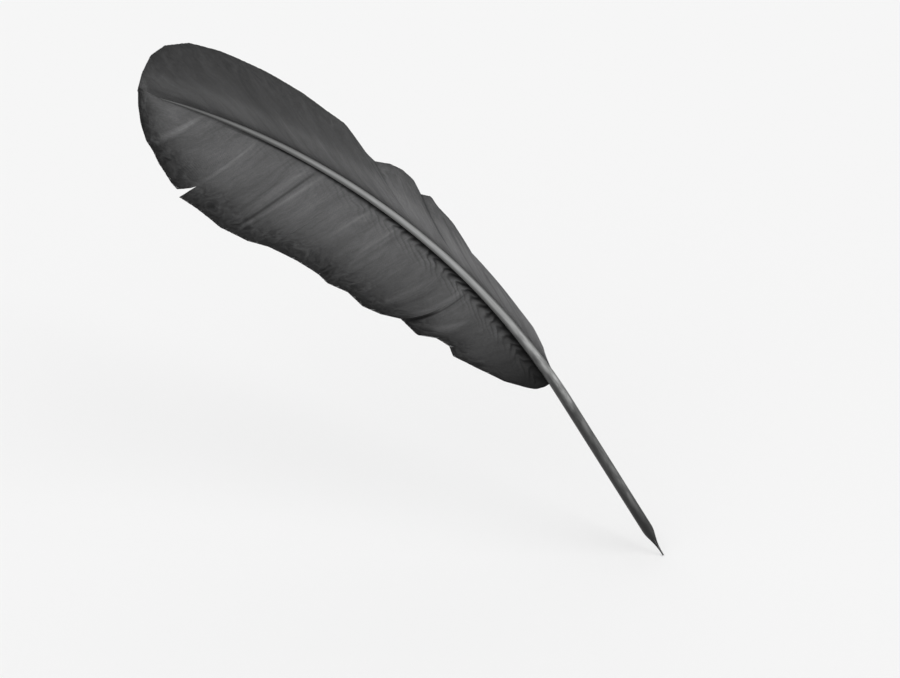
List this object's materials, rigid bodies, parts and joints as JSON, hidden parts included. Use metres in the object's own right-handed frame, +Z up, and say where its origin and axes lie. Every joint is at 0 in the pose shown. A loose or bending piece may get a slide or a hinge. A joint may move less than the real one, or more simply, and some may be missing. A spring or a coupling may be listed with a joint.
{
  "type": "quill pen",
  "caption": "Wing feather cut as a dip pen: hollow barrel with a slit nib, tapered bowed shaft, narrow outer vane and wide inner vane with a few notches.",
  "frame": {"origin": "directly under the nib's point, 0.3 mm below it, where the pen stands in its ink pot", "axes": "+Z is up with the pen at its storage lean; the pen leans towards -X, its plane is tipped 10 degrees back towards +Y, and the feather's smooth back faces -Y"},
  "size_m": [0.2247, 0.0531, 0.2167],
  "materials": {
    "keratin": "satin",
    "pith": "matte",
    "outer_barbs": "matte",
    "inner_barbs": "matte"
  },
  "bodies": {
    "quill": {"barrel": "keratin", "shaft": "keratin", "shaft_pith": "pith", "outer_vane_1": "outer_barbs", "outer_vane_2": "outer_barbs", "outer_vane_3": "outer_barbs", "outer_vane_4": "outer_barbs", "outer_vane_5": "outer_barbs", "outer_vane_6": "outer_barbs", "outer_vane_7": "outer_barbs", "outer_vane_8": "outer_barbs", "inner_vane_1": "inner_barbs", "inner_vane_2": "inner_barbs", "inner_vane_3": "inner_barbs", "inner_vane_4": "inner_barbs", "inner_vane_5": "inner_barbs", "inner_vane_6": "inner_barbs", "inner_vane_7": "inner_barbs", "inner_vane_8": "inner_barbs", "inner_vane_9": "inner_barbs", "inner_vane_10": "inner_barbs"},
    "tine_left": {"tine_left": "keratin"},
    "tine_right": {"tine_right": "keratin"}
  },
  "joints": [
    {"name": "tine_left_flex", "type": "hinge", "parent": "quill", "child": "tine_left", "pos_m": [-0.00604, 0.00178, 0.00831], "axis": [-0.6947, 0.4895, -0.5271], "range_deg": [0, 4], "stiffness_Nm_per_rad": 0.04},
    {"name": "tine_right_flex", "type": "hinge", "parent": "quill", "child": "tine_right", "pos_m": [-0.00472, 0.00192, 0.00912], "axis": [-0.6947, -0.6402, -0.3278], "range_deg": [0, 4], "stiffness_Nm_per_rad": 0.04}
  ]
}
